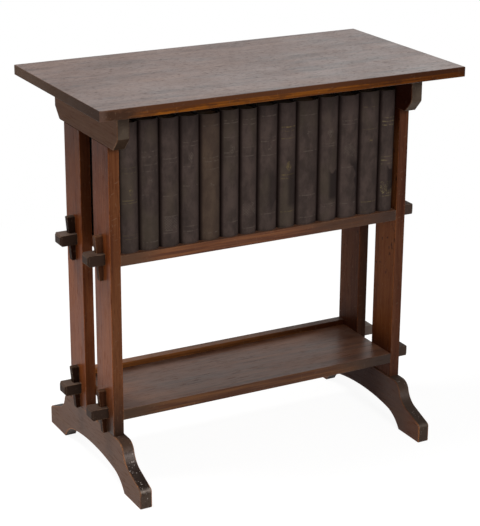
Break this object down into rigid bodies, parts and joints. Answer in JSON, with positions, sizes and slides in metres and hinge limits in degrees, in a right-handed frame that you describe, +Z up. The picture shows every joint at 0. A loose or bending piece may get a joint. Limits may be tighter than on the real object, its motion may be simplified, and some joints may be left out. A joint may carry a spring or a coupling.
{
  "type": "book stand",
  "caption": "Small oak book stand on two trestle ends: flat top, upper shelf filled with a matching set of books, lower shelf, tapered keys through the shelf tenons.",
  "frame": {"origin": "on the floor under the middle of the stand", "axes": "+X to the right along the stand, +Y to the back (book spines face -Y), +Z up"},
  "size_m": [0.6604, 0.38, 0.6664],
  "materials": {
    "oak_top": "satin",
    "oak_post": "satin",
    "oak_foot": "satin",
    "oak_shelf": "satin",
    "oak_key": "satin",
    "screw_steel": "satin",
    "book_cloth": "matte",
    "book_cloth_brown": "matte",
    "page_paper": "matte"
  },
  "bodies": {
    "stand": {"left_cleat": "oak_post", "left_foot": "oak_foot", "left_front_post": "oak_post", "left_rear_post": "oak_post", "lower_back_rail": "oak_shelf", "lower_shelf": "oak_shelf", "right_cleat": "oak_post", "right_foot": "oak_foot", "right_front_post": "oak_post", "right_rear_post": "oak_post", "top_board": "oak_top", "top_screws": "screw_steel", "upper_back_rail": "oak_shelf", "upper_shelf": "oak_shelf"},
    "lower_left_front_key": {"lower_left_front_key": "oak_key"},
    "lower_left_rear_key": {"lower_left_rear_key": "oak_key"},
    "lower_right_front_key": {"lower_right_front_key": "oak_key"},
    "lower_right_rear_key": {"lower_right_rear_key": "oak_key"},
    "upper_left_front_key": {"upper_left_front_key": "oak_key"},
    "upper_left_rear_key": {"upper_left_rear_key": "oak_key"},
    "upper_right_front_key": {"upper_right_front_key": "oak_key"},
    "upper_right_rear_key": {"upper_right_rear_key": "oak_key"},
    "book_01": {"book_01_case": "book_cloth", "book_01_pages": "page_paper"},
    "book_02": {"book_02_case": "book_cloth", "book_02_pages": "page_paper"},
    "book_03": {"book_03_case": "book_cloth", "book_03_pages": "page_paper"},
    "book_04": {"book_04_case": "book_cloth", "book_04_pages": "page_paper"},
    "book_05": {"book_05_case": "book_cloth_brown", "book_05_pages": "page_paper"},
    "book_06": {"book_06_case": "book_cloth", "book_06_pages": "page_paper"},
    "book_07": {"book_07_case": "book_cloth", "book_07_pages": "page_paper"},
    "book_08": {"book_08_case": "book_cloth", "book_08_pages": "page_paper"},
    "book_09": {"book_09_case": "book_cloth", "book_09_pages": "page_paper"},
    "book_10": {"book_10_case": "book_cloth", "book_10_pages": "page_paper"},
    "book_11": {"book_11_case": "book_cloth", "book_11_pages": "page_paper"},
    "book_12": {"book_12_case": "book_cloth", "book_12_pages": "page_paper"},
    "book_13": {"book_13_case": "book_cloth", "book_13_pages": "page_paper"},
    "book_14": {"book_14_case": "book_cloth", "book_14_pages": "page_paper"}
  },
  "joints": [
    {"name": "lower_left_front_key_slide", "type": "slide", "parent": "stand", "child": "lower_left_front_key", "axis": [0, 0, 1], "range_m": [0, 0.049]},
    {"name": "lower_left_rear_key_slide", "type": "slide", "parent": "stand", "child": "lower_left_rear_key", "axis": [0, 0, 1], "range_m": [0, 0.049]},
    {"name": "lower_right_front_key_slide", "type": "slide", "parent": "stand", "child": "lower_right_front_key", "axis": [0, 0, 1], "range_m": [0, 0.049]},
    {"name": "lower_right_rear_key_slide", "type": "slide", "parent": "stand", "child": "lower_right_rear_key", "axis": [0, 0, 1], "range_m": [0, 0.049]},
    {"name": "upper_left_front_key_slide", "type": "slide", "parent": "stand", "child": "upper_left_front_key", "axis": [0, 0, 1], "range_m": [0, 0.049]},
    {"name": "upper_left_rear_key_slide", "type": "slide", "parent": "stand", "child": "upper_left_rear_key", "axis": [0, 0, 1], "range_m": [0, 0.049]},
    {"name": "upper_right_front_key_slide", "type": "slide", "parent": "stand", "child": "upper_right_front_key", "axis": [0, 0, 1], "range_m": [0, 0.049]},
    {"name": "upper_right_rear_key_slide", "type": "slide", "parent": "stand", "child": "upper_right_rear_key", "axis": [0, 0, 1], "range_m": [0, 0.049]},
    {"name": "book_01_slide", "type": "slide", "parent": "stand", "child": "book_01", "axis": [0, -1, 0], "range_m": [0, 0.15]},
    {"name": "book_02_slide", "type": "slide", "parent": "stand", "child": "book_02", "axis": [0, -1, 0], "range_m": [0, 0.15]},
    {"name": "book_03_slide", "type": "slide", "parent": "stand", "child": "book_03", "axis": [0, -1, 0], "range_m": [0, 0.15]},
    {"name": "book_04_slide", "type": "slide", "parent": "stand", "child": "book_04", "axis": [0, -1, 0], "range_m": [0, 0.15]},
    {"name": "book_05_slide", "type": "slide", "parent": "stand", "child": "book_05", "axis": [0, -1, 0], "range_m": [0, 0.15]},
    {"name": "book_06_slide", "type": "slide", "parent": "stand", "child": "book_06", "axis": [0, -1, 0], "range_m": [0, 0.15]},
    {"name": "book_07_slide", "type": "slide", "parent": "stand", "child": "book_07", "axis": [0, -1, 0], "range_m": [0, 0.15]},
    {"name": "book_08_slide", "type": "slide", "parent": "stand", "child": "book_08", "axis": [0, -1, 0], "range_m": [0, 0.15]},
    {"name": "book_09_slide", "type": "slide", "parent": "stand", "child": "book_09", "axis": [0, -1, 0], "range_m": [0, 0.15]},
    {"name": "book_10_slide", "type": "slide", "parent": "stand", "child": "book_10", "axis": [0, -1, 0], "range_m": [0, 0.15]},
    {"name": "book_11_slide", "type": "slide", "parent": "stand", "child": "book_11", "axis": [0, -1, 0], "range_m": [0, 0.15]},
    {"name": "book_12_slide", "type": "slide", "parent": "stand", "child": "book_12", "axis": [0, -1, 0], "range_m": [0, 0.15]},
    {"name": "book_13_slide", "type": "slide", "parent": "stand", "child": "book_13", "axis": [0, -1, 0], "range_m": [0, 0.15]},
    {"name": "book_14_slide", "type": "slide", "parent": "stand", "child": "book_14", "axis": [0, -1, 0], "range_m": [0, 0.15]}
  ]
}
